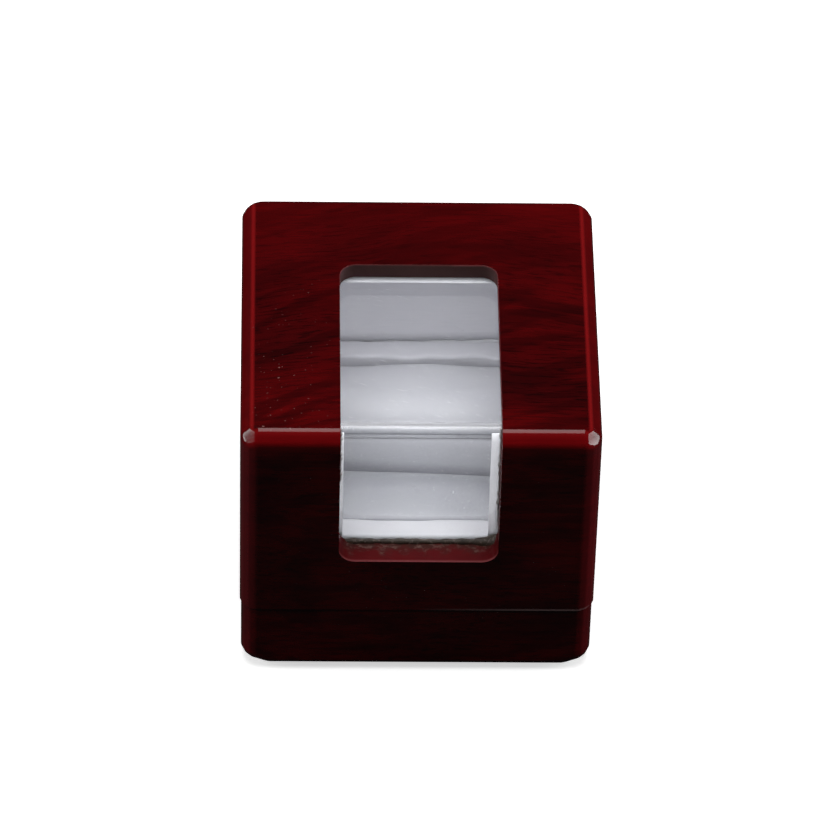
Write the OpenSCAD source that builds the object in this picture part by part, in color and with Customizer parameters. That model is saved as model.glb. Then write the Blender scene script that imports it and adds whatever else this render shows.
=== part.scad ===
// Ring display box: a lacquered wooden case with a hinged lid, an L-shaped window of bent acrylic
// and a slotted ring cushion. X runs to the right, Y to the back and Z up; the origin is the middle
// of the underside. All sizes are in millimetres.

/* [Case] */
// Width of the closed box, left to right
case_w = 65; // [62:0.5:80]
// Depth of the closed box, front to back, without the hinge barrels
case_d = 65; // [63:0.5:80]
// Height of the closed box, felt included
case_h = 60; // [56:0.5:72]
// Height of the seam between base and lid above the table
seam_h = 16; // [14:0.5:18]
// Thickness of the walls of base and lid at the seam
wall_t = 5.2; // [4.6:0.1:6]
// Thickness of the lid's top panel
top_t = 5; // [4.7:0.1:7]
// Thickness of the base's bottom board
floor_t = 3; // [2:0.5:4]
// Step from the lid's faces in to the base's faces
base_step = 0.25; // [0:0.05:0.6]

/* [Edges] */
// Chamfer along the four top edges of the lid
top_chamfer = 2; // [0.5:0.1:3]
// Chamfer down the four upright corners
corner_chamfer = 2.6; // [1:0.1:4]
// Chamfer along the bottom edges of the base
foot_chamfer = 1.3; // [0.3:0.1:2.5]
// Small chamfer on either side of the seam
seam_chamfer = 0.4; // [0.1:0.05:0.7]

/* [Felt] */
// Thickness of the felt that the box stands on
felt_t = 0.8; // [0.5:0.1:1.5]
// Distance from the base's faces in to the felt's edge
felt_margin = 3; // [2.6:0.1:8]

/* [Window] */
// Width of the cut-out in the top panel and the front wall
window_w = 29; // [22:0.5:36]
// Distance from the front face back to the cut-out's rear edge
window_d = 45.7; // [36:0.1:48]
// Height of the cut-out's sill above the table
sill_h = 28.6; // [24:0.1:36]
// Radius of the cut-out's four corners
window_r = 3; // [1.5:0.1:5]
// Thickness of the bent acrylic sheet
pane_t = 1.5; // [1:0.1:1.6]
// Depth of the sheet's upper face below the top of the lid
pane_recess = 3.1; // [2.4:0.1:3.2]
// Outer radius of the sheet's bend
bend_r = 2.6; // [1.8:0.1:3.2]
// Width of the sheet that is glued behind the wood, all round
pane_lap = 3.5; // [2:0.1:5]
// Play of the sheet in its rebate, all round
pane_play = 0.15; // [0.05:0.05:0.4]

/* [Lining] */
// Thickness of the satin-covered panels inside the lid
lining_t = 0.8; // [0.5:0.1:1.2]
// Height of the linings' lower edges above the seam
lining_clear = 0.4; // [0.2:0.1:1]
// Gap from the front lining's panels to the sheet's lower edge and to the sill's level
lining_split = 0.3; // [0.1:0.05:0.5]
// How far the front lining shows inside each side of the window
lining_show = 0.7; // [0:0.1:2]
// How far the top lining's cut-out clears the window
lining_back_off = 0.3; // [0:0.1:1]

/* [Tray] */
// Width of the satin-covered rim round the cushion
rim_w = 4.6; // [4:0.1:6]
// Height of the rim above the seam
rim_rise = 12.4; // [9:0.1:12.4]
// Radius of the rim's upper edges
rim_r = 0.8; // [0.4:0.1:1.5]
// Gap between a soft piece and what stands beside it
soft_gap = 0.3; // [0.2:0.05:0.6]
// Gap between the rim's front and the sheet that swings past it
swing_gap = 0.8; // [0.8:0.05:1.2]

/* [Ring cushion] */
// Height of the cushion's crown above the seam
cushion_rise = 11.6; // [8:0.1:12]
// Radius of the cushion's outer shoulders
shoulder_r = 1.6; // [1:0.1:4]
// Radius of the two shoulders that lead into the ring slot
slot_r = 10.5; // [9:0.5:14]
// Width of the ring slot between the two halves of the cushion
slot_w = 1.2; // [1:0.1:3]
// Thickness of the card that the cushion is glued to
card_t = 1.5; // [1:0.1:2.5]

/* [Hinge cloth] */
// Thickness of the satin strip behind the rim that hides the hinge joint
cloth_t = 0.6; // [0.4:0.1:0.8]
// Height of the strip's upper edge above the rim
cloth_rise = 1.2; // [0:0.1:2]
// Width of bare rim at each end of the strip
cloth_margin = 1; // [0.5:0.1:3]

/* [Hinges] */
// Length of each butt hinge along its pin
hinge_w = 12; // [9:0.5:16]
// Distance from the box's sides in to the middle of each hinge
hinge_in = 15.5; // [13.5:0.5:22]
// Thickness of the hinge leaves
leaf_t = 0.8; // [0.6:0.05:1]
// Depth that the leaves are let into the walls, from the back face
leaf_d = 4.2; // [3.4:0.1:4.4]
// Outer radius of the hinge barrel
barrel_r = 1.3; // [1.1:0.05:1.6]
// Gap between the barrel and the back of the case
barrel_gap = 0.1; // [0.05:0.05:0.5]
// Radius of the hinge pin
pin_r = 0.6; // [0.4:0.05:0.7]
// Radial play of the pin in its knuckles
pin_play = 0.05; // [0.02:0.01:0.1]
// Gap between neighbouring knuckles and round their ends
knuckle_gap = 0.12; // [0.08:0.02:0.3]
// Thickness of the pin's peened heads
pin_head_t = 0.35; // [0.2:0.05:0.8]
// How far the peened heads stand out round the pin
pin_head_rim = 0.35; // [0.2:0.05:0.5]

/* [Hinge screws] */
// Distance between the two screws of a leaf
screw_pitch = 6.4; // [5:0.1:8]
// Distance from the back face in to the screws
screw_in = 2.3; // [1.8:0.1:2.6]
// Radius of the countersunk screw heads
screw_head_r = 1.1; // [0.9:0.05:1.3]
// Height of the countersunk screw heads
screw_head_h = 0.5; // [0.3:0.05:0.55]
// Radius of the screw shanks
screw_r = 0.55; // [0.4:0.05:0.7]
// Length of the screws, head included
screw_l = 5; // [4:0.5:7]
// Length of the screws' points
screw_point = 1; // [0.5:0.1:1.5]
// Play round the screws, and their depth below the leaf's face
screw_play = 0.05; // [0.02:0.01:0.1]

/* [Catch] */
// Diameter of the disc magnets
magnet_d = 3; // [2:0.5:3.5]
// Thickness of the disc magnets
magnet_t = 2; // [1:0.5:3]
// Distance from the box's sides in to each magnet
magnet_in = 13.5; // [10.5:0.5:20]
// Depth of the magnets' faces below the rim
magnet_sink = 0.1; // [0.05:0.05:0.4]
// Play of the magnets in their holes
magnet_play = 0.05; // [0.02:0.01:0.1]

/* [Hidden] */
$fn = 48;

// Length by which cutting bodies run past what they cut
over = 1;
// Steps of an arc in a soft piece's outline
arc_steps = 8;

// Half sizes of the lid, of the base and of the hollow that both share
lid_x = case_w / 2;
lid_y = case_d / 2;
base_x = lid_x - base_step;
base_y = lid_y - base_step;
hollow_x = lid_x - wall_t;
hollow_y = lid_y - wall_t;

// Levels above the table
panel_z = case_h - top_t;
floor_z = felt_t + floor_t;
card_z = floor_z + card_t;
lining_z0 = seam_h + lining_clear;
lining_z1 = panel_z - lining_t;
lid_step_z = seam_h - lining_clear;
rim_z = seam_h + rim_rise;
crown_z = seam_h + cushion_rise;

// Window and its sheet
window_y = window_d - lid_y;
pane_z = case_h - pane_recess;
pane_y0 = -hollow_y;
pane_y1 = window_y + pane_lap;
pane_x = window_w / 2 + pane_lap;
pane_low = sill_h - pane_lap;

// Outer faces of the tray's rim, which stand inside the lid's linings and sheet
lining_front_y = pane_y0 + pane_t;
rim_x = hollow_x - lining_t - soft_gap;
rim_y0 = lining_front_y + swing_gap;
rim_y1 = hollow_y - lining_t - soft_gap - cloth_t;
rim_mid = (rim_y0 + rim_y1) / 2;
rim_y = (rim_y1 - rim_y0) / 2;

// Half sizes of the well inside the rim and of the cushion that fills it
well_x = rim_x - rim_w;
well_y = rim_y - rim_w;
cushion_x = well_x - soft_gap;
cushion_y = well_y - soft_gap;

// Hinge axis and knuckles
axis_y = lid_y + barrel_gap + barrel_r;
hinge_x = lid_x - hinge_in;
magnet_x = lid_x - magnet_in;
knuckle_l = (hinge_w - 2 * knuckle_gap) / 3;
bore_r = pin_r + pin_play;

// ---- helpers ----

// Points of an arc about a centre, from one angle to another, in degrees
function arc(centre, r, from, to) =
    [for (i = [0 : arc_steps]) centre + r * [cos(from + (to - from) * i / arc_steps),
                                             sin(from + (to - from) * i / arc_steps)]];

// Rectangle of half width x, from z0 to z1, with its upper and lower corners cut off
function cut_profile(x, z0, z1, low, high) = [
    [-x + low, z0], [x - low, z0], [x, z0 + low], [x, z1 - high],
    [x - high, z1], [-x + high, z1], [-x, z1 - high], [-x, z0 + low],
];

// One side of a mitred frame with half sizes x and y: the side at -y, which runs past its outer face
function mitre_outline(x, y, t) = [
    [-x - t, -y - t], [x + t, -y - t], [x - t, -y + t], [-x + t, -y + t],
];

// Extrudes an outline drawn in Y and Z along X, between -x and x
module along_x(x) { rotate([90, 0, 90]) translate([0, 0, -x]) linear_extrude(2 * x) children(); }

// Extrudes an outline drawn in X and Z along Y, between -y and y
module along_y(y) { rotate([90, 0, 0]) translate([0, 0, -y]) linear_extrude(2 * y) children(); }

// Solid outer form of the base or the lid: a block with chamfered corners and edges
module case_block(x, y, z0, z1, low, high) {
    c = corner_chamfer;
    intersection() {
        translate([0, 0, z0]) linear_extrude(z1 - z0) polygon([
            [-x + c, -y], [x - c, -y], [x, -y + c], [x, y - c],
            [x - c, y], [-x + c, y], [-x, y - c], [-x, -y + c],
        ]);
        along_y(y + over) polygon(cut_profile(x, z0, z1, low, high));
        along_x(x + over) polygon(cut_profile(y, z0, z1, low, high));
    }
}

module lid_block() { case_block(lid_x, lid_y, seam_h, case_h, seam_chamfer, top_chamfer); }

module base_block() { case_block(base_x, base_y, felt_t, seam_h, foot_chamfer, seam_chamfer); }

// Prisms that cut the four mitred sides out of a block
module mitre_front(x, y) { linear_extrude(case_h) polygon(mitre_outline(x, y, wall_t)); }

module mitre_left(x, y) { rotate(-90) mitre_front(y, x); }

module below_panel() {
    translate([-case_w, -case_d, 0]) cube([2 * case_w, 2 * case_d, panel_z]);
}

// The window's cut-out: upright slot in the front, level slot in the top
module window_cut() {
    w = window_w / 2;
    y0 = -lid_y - over;
    z1 = case_h + over;
    for (x = [-w + window_r, w - window_r]) {
        translate([x, window_y - window_r, pane_z - over]) cylinder(r = window_r, h = z1 - pane_z + over);
        translate([x, y0, sill_h + window_r]) rotate([-90, 0, 0])
            cylinder(r = window_r, h = pane_y0 - y0 + over);
    }
    translate([-w, y0, sill_h + window_r])
        cube([window_w, pane_y0 - y0 + over, z1 - sill_h - window_r]);
    translate([-w + window_r, y0, sill_h])
        cube([window_w - 2 * window_r, pane_y0 - y0 + over, z1 - sill_h]);
    translate([-w, y0, pane_z - over])
        cube([window_w, window_y - window_r - y0, z1 - pane_z + over]);
    translate([-w + window_r, y0, pane_z - over])
        cube([window_w - 2 * window_r, window_y - y0, z1 - pane_z + over]);
}

// A disc magnet's place in the front rim, at both sides
module at_magnets() {
    for (x = [-magnet_x, magnet_x]) translate([x, -lid_y + wall_t / 2, seam_h]) children();
}

// Both screws of the hinge at x, with the screw's head up at the seam
module at_screws(x) {
    for (dx = [-screw_pitch / 2, screw_pitch / 2])
        translate([x + dx, lid_y - screw_in, seam_h]) children();
}

// A countersunk screw that hangs down from the seam; play makes the hole it sits in
module hinge_screw(play) {
    top = play > 0 ? over : -screw_play;
    rotate_extrude() polygon([
        [0, top], [screw_head_r + play, top], [screw_head_r + play, -screw_play],
        [screw_r + play, -screw_play - screw_head_h],
        [screw_r + play, -screw_l + screw_point - play], [0, -screw_l - play],
    ]);
}

// Mortise for the leaf of the hinge at x, in the rim just below the seam
module leaf_mortise(x) {
    translate([x - hinge_w / 2, lid_y - leaf_d, seam_h - leaf_t])
        cube([hinge_w, leaf_d + over, leaf_t + over]);
}

// Everything that the hinges and their screws take out of the wall below the seam
module hinge_pockets() {
    for (x = [-hinge_x, hinge_x]) {
        leaf_mortise(x);
        at_screws(x) hinge_screw(screw_play);
    }
}

// Flips what stands below the seam to the same place above it
module above_seam() { translate([0, 0, 2 * seam_h]) mirror([0, 0, 1]) children(); }

// One hinge leaf below the seam, with knuckles at the given places: -1 and 1 are the ends, 0 the middle
module hinge_leaf(x, places) {
    difference() {
        union() {
            translate([x - hinge_w / 2, lid_y - leaf_d, seam_h - leaf_t])
                cube([hinge_w, leaf_d + axis_y - lid_y, leaf_t]);
            for (p = places) knuckle(x, p, knuckle_l, barrel_r);
        }
        for (p = [-1, 0, 1]) if (len(search(p, places)) == 0) knuckle_room(x, p);
        knuckle(x, 0, hinge_w + 2 * over, bore_r);
        at_screws(x) hinge_screw(screw_play);
    }
}

module knuckle(x, place, length, r) {
    translate([x + place * (knuckle_l + knuckle_gap) - length / 2, axis_y, seam_h])
        rotate([0, 90, 0]) cylinder(r = r, h = length);
}

// Room for the other leaf's knuckle; the end knuckles' room runs out past the leaf
module knuckle_room(x, place) {
    l = knuckle_l + 2 * knuckle_gap;
    r = barrel_r + knuckle_gap;
    translate([x + place * (knuckle_l + knuckle_gap) - l / 2 - (place < 0 ? over : 0), axis_y - r,
               seam_h - r])
        cube([l + (place == 0 ? 0 : over), 2 * r, 2 * r]);
}

module hinge_pin(x) {
    head_r = pin_r + pin_head_rim;
    translate([x, axis_y, seam_h]) rotate([0, 90, 0]) {
        translate([0, 0, -hinge_w / 2]) cylinder(r = pin_r, h = hinge_w);
        for (side = [-1, 1]) translate([0, 0, side * (hinge_w + pin_head_t) / 2])
            cylinder(r = head_r, h = pin_head_t, center = true);
    }
}

// Section of a soft block of half width w that stands on z0 and is z1 high, with rounded shoulders:
// radius r0 on the left, r1 on the right
function soft_section(w, z0, z1, r0, r1) = concat(
    [[-w, z0]],
    arc([-w + r0, z1 - r0], r0, 180, 90),
    arc([w - r1, z1 - r1], r1, 90, 0),
    [[w, z0]]
);

// Section of the tray: half width w above the seam, and the hollow's below it, where it is let in
function tray_section(w, hollow_0, hollow_1) = concat(
    [[-hollow_0, floor_z], [-hollow_0, lid_step_z], [-w, lid_step_z]],
    arc([-w + rim_r, rim_z - rim_r], rim_r, 180, 90),
    arc([w - rim_r, rim_z - rim_r], rim_r, 90, 0),
    [[w, lid_step_z], [hollow_1, lid_step_z], [hollow_1, floor_z]]
);

// Section of the tray's well, which flares out in a round at the rim
function well_section(w) = concat(
    [[w, floor_z - over]],
    arc([w + rim_r, rim_z - rim_r], rim_r, 180, 90),
    [[w + rim_r, rim_z + over], [-w - rim_r, rim_z + over]],
    arc([-w - rim_r, rim_z - rim_r], rim_r, 90, 0),
    [[-w, floor_z - over]]
);

// The tray as one satin-covered frame: it fills the base's hollow and its rim stands up inside the lid
module tray_frame() difference() {
    intersection() {
        along_y(case_d) polygon(tray_section(rim_x, hollow_x, hollow_x));
        translate([0, rim_mid, 0])
            along_x(case_w) polygon(tray_section(rim_y, hollow_y + rim_mid, hollow_y - rim_mid));
    }
    intersection() {
        along_y(case_d) polygon(well_section(well_x));
        translate([0, rim_mid, 0]) along_x(case_w) polygon(well_section(well_y));
    }
}

// Prism that cuts the frame's front board out of it, mitred at the corners of the rim
module tray_mitre(x, y) { linear_extrude(case_h) polygon(mitre_outline(x, y, rim_w)); }

// Front half of the ring cushion, from the rim's front board back to the slot
module cushion_half() {
    w = (cushion_y - slot_w / 2) / 2;
    intersection() {
        translate([0, -slot_w / 2 - w, 0]) along_x(case_w)
            polygon(soft_section(w, card_z, crown_z, shoulder_r, slot_r));
        along_y(case_d) polygon(soft_section(cushion_x, card_z, crown_z, shoulder_r, shoulder_r));
    }
}

// ---- base ----

module base_front_wall() color("#3a0507") difference() {
    intersection() { base_block(); mitre_front(lid_x, lid_y); }
    at_magnets() translate([0, 0, -magnet_sink - magnet_t])
        cylinder(d = magnet_d + 2 * magnet_play, h = magnet_t + magnet_sink + over);
}

module base_back_wall() color("#4a0609") difference() {
    intersection() { base_block(); mirror([0, 1, 0]) mitre_front(lid_x, lid_y); }
    hinge_pockets();
}

module base_left_wall() color("#520a0e") intersection() { base_block(); mitre_left(lid_x, lid_y); }

module base_right_wall() color("#520a0e") mirror([1, 0, 0]) intersection() {
    base_block();
    mitre_left(lid_x, lid_y);
}

module base_floor() color("#8a6a4a") translate([-hollow_x, -hollow_y, felt_t])
    cube([2 * hollow_x, 2 * hollow_y, floor_t]);

module base_felt() color("#1c1c1e") {
    x = base_x - felt_margin;
    y = base_y - felt_margin;
    translate([-x, -y, 0]) cube([2 * x, 2 * y, felt_t]);
}

module tray_board_front() color("#e6e6ec") intersection() {
    tray_frame();
    translate([0, rim_mid, 0]) tray_mitre(rim_x, rim_y);
}

module tray_board_back() color("#e6e6ec") intersection() {
    tray_frame();
    translate([0, rim_mid, 0]) mirror([0, 1, 0]) tray_mitre(rim_x, rim_y);
}

module tray_board_left() color("#e6e6ec") intersection() {
    tray_frame();
    translate([0, rim_mid, 0]) rotate(-90) tray_mitre(rim_y, rim_x);
}

module tray_board_right() color("#e6e6ec") mirror([1, 0, 0]) tray_board_left();

// The card lies on the floor inside the tray's frame
module cushion_card() color("#b8aa90") translate([-well_x, rim_mid - well_y, floor_z])
    cube([2 * well_x, 2 * well_y, card_t]);

module ring_cushion_front() color("#dcdce2") translate([0, rim_mid, 0]) cushion_half();

module ring_cushion_back() color("#dcdce2") translate([0, rim_mid, 0]) mirror([0, 1, 0]) cushion_half();

// The strip stands on the tray's rear board and is glued to the back of its rim
module hinge_cloth() color("#e2e2e8") translate([-rim_x + cloth_margin, rim_y1, lid_step_z])
    cube([2 * (rim_x - cloth_margin), cloth_t, rim_z + cloth_rise - lid_step_z]);

module base_magnets() color("#b9bcc2") at_magnets() translate([0, 0, -magnet_sink - magnet_t])
    cylinder(d = magnet_d, h = magnet_t);

module hinge_base_leaf_left() color("#c9a24b") hinge_leaf(-hinge_x, [-1, 1]);

module hinge_base_leaf_right() color("#c9a24b") hinge_leaf(hinge_x, [-1, 1]);

module hinge_pin_left() color("#a7843a") hinge_pin(-hinge_x);

module hinge_pin_right() color("#a7843a") hinge_pin(hinge_x);

module base_hinge_screws() color("#d4b05a") for (x = [-hinge_x, hinge_x]) at_screws(x) hinge_screw(0);

// ---- lid ----

module lid_top_panel() color("#6a0509") difference() {
    intersection() {
        lid_block();
        translate([-case_w, -case_d, panel_z]) cube([2 * case_w, 2 * case_d, top_t + over]);
    }
    window_cut();
    translate([-pane_x - pane_play, pane_y0 - pane_play, panel_z - over])
        cube([2 * (pane_x + pane_play), pane_y1 - pane_y0 + 2 * pane_play, pane_z - panel_z + over]);
}

module lid_front_wall() color("#2a0405") difference() {
    intersection() { lid_block(); mitre_front(lid_x, lid_y); below_panel(); }
    window_cut();
    at_magnets() translate([0, 0, -over])
        cylinder(d = magnet_d + 2 * magnet_play, h = magnet_t + magnet_sink + over);
}

module lid_back_wall() color("#4a0609") difference() {
    intersection() { lid_block(); mirror([0, 1, 0]) mitre_front(lid_x, lid_y); below_panel(); }
    above_seam() hinge_pockets();
}

module lid_left_wall() color("#520a0e") intersection() {
    lid_block();
    mitre_left(lid_x, lid_y);
    below_panel();
}

module lid_right_wall() color("#520a0e") mirror([1, 0, 0]) intersection() {
    lid_block();
    mitre_left(lid_x, lid_y);
    below_panel();
}

module window_pane() color("#c8ccd4") {
    mid_y = pane_y0 + bend_r;
    mid_z = pane_z - bend_r;
    translate([-pane_x, mid_y, pane_z - pane_t]) cube([2 * pane_x, pane_y1 - mid_y, pane_t]);
    translate([-pane_x, pane_y0, pane_low]) cube([2 * pane_x, pane_t, mid_z - pane_low]);
    intersection() {
        translate([0, mid_y, mid_z]) rotate([0, 90, 0]) difference() {
            cylinder(r = bend_r, h = 2 * pane_x, center = true);
            cylinder(r = bend_r - pane_t, h = 2 * pane_x + 2 * over, center = true);
        }
        translate([-pane_x, pane_y0, mid_z]) cube([2 * pane_x, bend_r, bend_r]);
    }
}

module lining_top() color("#dfdfe6") difference() {
    y0 = pane_y0 + bend_r;
    translate([-hollow_x, y0, lining_z1]) cube([2 * hollow_x, hollow_y - y0, lining_t]);
    w = window_w / 2 + lining_back_off;
    translate([-w, y0 - over, lining_z1 - over])
        cube([2 * w, window_y + lining_back_off - y0 + over, lining_t + 2 * over]);
}

// A panel each side of the window covers the sheet's edges; a third covers the wall below the sheet
module lining_front() color("#ececf0") {
    x = window_w / 2 - lining_show;
    z = sill_h + lining_split;
    for (side = [0, 1]) mirror([side, 0, 0]) translate([x, lining_front_y, z])
        cube([hollow_x - x, lining_t, lining_z1 - z]);
    translate([-hollow_x, pane_y0, lining_z0])
        cube([2 * hollow_x, lining_t, pane_low - lining_split - lining_z0]);
}

module lining_back() color("#d8d8e0") translate([-hollow_x, hollow_y - lining_t, lining_z0])
    cube([2 * hollow_x, lining_t, lining_z1 - lining_z0]);

// A side lining at the left, between the front and the back lining
module side_lining() {
    y0 = lining_front_y + lining_t;
    translate([-hollow_x, y0, lining_z0])
        cube([lining_t, hollow_y - lining_t - y0, lining_z1 - lining_z0]);
}

module lining_left() color("#dcdce4") side_lining();

module lining_right() color("#dcdce4") mirror([1, 0, 0]) side_lining();

module lid_magnets() color("#b9bcc2") at_magnets() translate([0, 0, magnet_sink])
    cylinder(d = magnet_d, h = magnet_t);

module hinge_lid_leaf_left() color("#c9a24b") above_seam() hinge_leaf(-hinge_x, [0]);

module hinge_lid_leaf_right() color("#c9a24b") above_seam() hinge_leaf(hinge_x, [0]);

module lid_hinge_screws() color("#d4b05a") above_seam()
    for (x = [-hinge_x, hinge_x]) at_screws(x) hinge_screw(0);

base_front_wall();
base_back_wall();
base_left_wall();
base_right_wall();
base_floor();
base_felt();
tray_board_front();
tray_board_back();
tray_board_left();
tray_board_right();
cushion_card();
ring_cushion_front();
ring_cushion_back();
hinge_cloth();
base_magnets();
hinge_base_leaf_left();
hinge_base_leaf_right();
hinge_pin_left();
hinge_pin_right();
base_hinge_screws();
lid_top_panel();
lid_front_wall();
lid_back_wall();
lid_left_wall();
lid_right_wall();
window_pane();
lining_top();
lining_front();
lining_back();
lining_left();
lining_right();
lid_magnets();
hinge_lid_leaf_left();
hinge_lid_leaf_right();
lid_hinge_screws();
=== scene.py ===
# %% [markdown]
# # A lacquered ring display box
#
# The box is a small wooden case with a lid hinged at the back. A sheet of clear acrylic, bent to
# an L, closes a window that runs from the lid's top down its front, and a satin tray with a slotted
# cushion holds the ring. The fixed frame gives every size and place; this file builds the looks
# round it: seamless lacquered wood, satin over foam, clear sheet, brass and felt.

import itertools
import math

import bmesh
import bpy
import numpy as np
from mathutils import Matrix, Vector


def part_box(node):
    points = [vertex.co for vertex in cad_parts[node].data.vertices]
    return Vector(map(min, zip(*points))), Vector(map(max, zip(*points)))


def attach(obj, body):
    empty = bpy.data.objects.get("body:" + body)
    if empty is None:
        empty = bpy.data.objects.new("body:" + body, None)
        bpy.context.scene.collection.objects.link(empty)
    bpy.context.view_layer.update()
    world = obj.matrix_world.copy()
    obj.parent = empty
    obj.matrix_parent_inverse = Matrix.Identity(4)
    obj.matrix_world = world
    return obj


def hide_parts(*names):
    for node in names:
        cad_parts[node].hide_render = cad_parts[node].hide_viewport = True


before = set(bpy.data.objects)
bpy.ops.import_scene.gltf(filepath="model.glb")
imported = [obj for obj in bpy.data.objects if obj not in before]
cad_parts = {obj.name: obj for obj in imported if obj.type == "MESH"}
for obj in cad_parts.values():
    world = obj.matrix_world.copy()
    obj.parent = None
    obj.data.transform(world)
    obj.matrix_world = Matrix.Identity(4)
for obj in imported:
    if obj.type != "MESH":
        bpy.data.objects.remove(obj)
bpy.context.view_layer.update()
scene = bpy.context.scene
mm = 0.001

# %% [markdown]
# Sizes come from the frame where a node's box gives them, so that the looks follow the solids.
# The rest are a joiner's own numbers: how far the edges are broken and how the window is cut.

# %% Sizes of the case, the window and the tray
top_lo, top_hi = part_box("lid_top_panel")
pane_lo, pane_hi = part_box("window_pane")
base_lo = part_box("base_front_wall")[0]

LID_X = top_hi.x
LID_Y = top_hi.y
BASE_X = -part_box("base_left_wall")[0].x
BASE_Y = -base_lo.y
SEAM_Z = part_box("lid_front_wall")[0].z
TOP_Z = top_hi.z
PANEL_Z = top_lo.z
FOOT_Z = base_lo.z
HOLLOW_X, HOLLOW_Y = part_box("base_floor")[1].xy

TOP_CHAMFER = 2.0 * mm
CORNER_R = 3.6 * mm
FOOT_CHAMFER = 1.3 * mm
TOP_FACET = 5.0 * mm
EDGE_ROUND = 1.6 * mm
CUT_ROUND = 0.36 * mm

WINDOW_X = 14.5 * mm
WINDOW_BACK_Y = 13.2 * mm
SILL_Z = 28.6 * mm
WINDOW_R = 3.0 * mm
PANE_T = 1.5 * mm
BEND_R = 2.6 * mm
ARC_STEPS = 10
BALL_STEPS = 4
print("lid", 2 * LID_X, 2 * LID_Y, "seam", SEAM_Z, "top", TOP_Z)

# %% [markdown]
# Every piece is a mesh that is made in place, so its object stays at the origin and a pattern on
# Object coordinates doesn't slide. `piece` makes the object with its finishes, and `settle` hands it
# to the body it moves with and hides the frame's nodes that it stands for.

# %% Making pieces
def placed(name, data):
    made = bpy.data.objects.new(name, data)
    scene.collection.objects.link(made)
    return made


def piece(name, mesh, *materials):
    mesh.name = name
    for material in materials:
        mesh.materials.append(material)
    return placed(name, mesh)


def settle(made, body, nodes=()):
    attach(made, body)
    if nodes:
        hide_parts(*nodes)
    print(made.name, "faces", len(made.data.polygons), "on", body)
    return made


def shade(mesh, smooth=True):
    mesh.polygons.foreach_set("use_smooth", [smooth] * len(mesh.polygons))
    return mesh


def mesh_of(bm, smooth=True):
    bmesh.ops.recalc_face_normals(bm, faces=bm.faces)
    mesh = bpy.data.meshes.new("form")
    bm.to_mesh(mesh)
    bm.free()
    return shade(mesh, smooth)


def finished(made):
    """The piece with its modifiers worked into its mesh, and none left on it."""
    graph = bpy.context.evaluated_depsgraph_get()
    mesh = bpy.data.meshes.new_from_object(made.evaluated_get(graph), depsgraph=graph)
    old = made.data
    made.modifiers.clear()
    made.data = mesh
    mesh.name = made.name
    bpy.data.meshes.remove(old)
    return made


def modified(made, kind, **settings):
    modifier = made.modifiers.new(kind, kind)
    for key, setting in settings.items():
        setattr(modifier, key, setting)
    return finished(made)


# %% [markdown]
# A chamfered block is easiest to say as planes, and the points where three planes meet inside all
# the others are its corners. Lacquer lies round on every edge, so the planes are first moved in by
# that radius and a bit of a ball is set on each corner; the convex hull of these bits is the block
# with all its edges truly round.

# %% Blocks and prisms
def plane_corners(normals, reach):
    """Corners of the convex solid inside the planes, with the planes that meet at each."""
    found = {}
    for trio in itertools.combinations(range(len(normals)), 3):
        rows = normals[list(trio)]
        if abs(np.linalg.det(rows)) > 1e-6:
            point = np.linalg.solve(rows, reach[list(trio)])
            if np.all(normals @ point <= reach + 1e-9):
                key = tuple(np.round(point * 1e7).astype(int))
                found.setdefault(key, (point, set()))[1].update(trio)
    return list(found.values())


def ball_part(normals, steps):
    """Directions that fill the cone between the given normals."""
    parts = []
    for trio in itertools.combinations(normals, 3):
        for i in range(steps + 1):
            for j in range(steps + 1 - i):
                mixed = trio[0] * i + trio[1] * j + trio[2] * (steps - i - j)
                parts.append(mixed / np.linalg.norm(mixed))
    return parts


def rounded_solid(planes, radius):
    """Convex solid inside (normal, distance) planes with every edge rounded."""
    normals = np.array([Vector(n).normalized() for n, _ in planes])
    reach = np.array([d / Vector(n).length for n, d in planes]) - radius
    bm = bmesh.new()
    for corner, trio in plane_corners(normals, reach):
        for way in ball_part([normals[k] for k in sorted(trio)], BALL_STEPS):
            bm.verts.new(corner + way * radius)
    bmesh.ops.remove_doubles(bm, verts=bm.verts, dist=1e-6)
    hull = bmesh.ops.convex_hull(bm, input=bm.verts)
    spare = [v for v in set(hull["geom_interior"] + hull["geom_unused"]) if v.is_valid]
    bmesh.ops.delete(bm, geom=[v for v in spare if not v.link_faces], context="VERTS")
    bmesh.ops.dissolve_limit(bm, angle_limit=0.002, verts=bm.verts, edges=bm.edges)
    return bm


def ball_corner(s, t, way, corner):
    """Planes round a corner that is sanded to a ball of radius CORNER_R."""
    planes = []
    for turn, lift in itertools.product((22.5, 45, 67.5), (18, 36, 54, 72)):
        turn, lift = math.radians(turn), math.radians(lift)
        a = (math.cos(turn) * math.cos(lift), math.sin(turn) * math.cos(lift), math.sin(lift))
        reach = sum(n * (c - CORNER_R) for n, c in zip(a, corner)) + CORNER_R
        planes.append(((s * a[0], t * a[1], way * a[2]), reach))
    return planes


def case_planes(x, y, plain_z, end_z, chamfer, facet):
    """Block from plain_z to end_z, whose end has chamfered edges and sanded corners.

    The two front corners at the top keep a flat facet; all the others are rounded like a ball."""
    way = 1 if end_z > plain_z else -1
    planes = [((0, 0, way), way * end_z), ((0, 0, -way), -way * plain_z)]
    for s in (-1, 1):
        planes += [((s, 0, 0), x), ((0, s, 0), y)]
        planes += [((s, 0, way), x + way * end_z - chamfer), ((0, s, way), y + way * end_z - chamfer)]
        for t in (-1, 1):
            for turn in (22.5, 45, 67.5):
                c, d = math.cos(math.radians(turn)), math.sin(math.radians(turn))
                planes.append(((s * c, t * d, 0), (x - CORNER_R) * c + (y - CORNER_R) * d + CORNER_R))
            if facet and t < 0:
                planes.append(((s, t, way), x + y + way * end_z - facet))
            else:
                planes += ball_corner(s, t, way, (x, y, way * end_z))
    return planes


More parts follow.
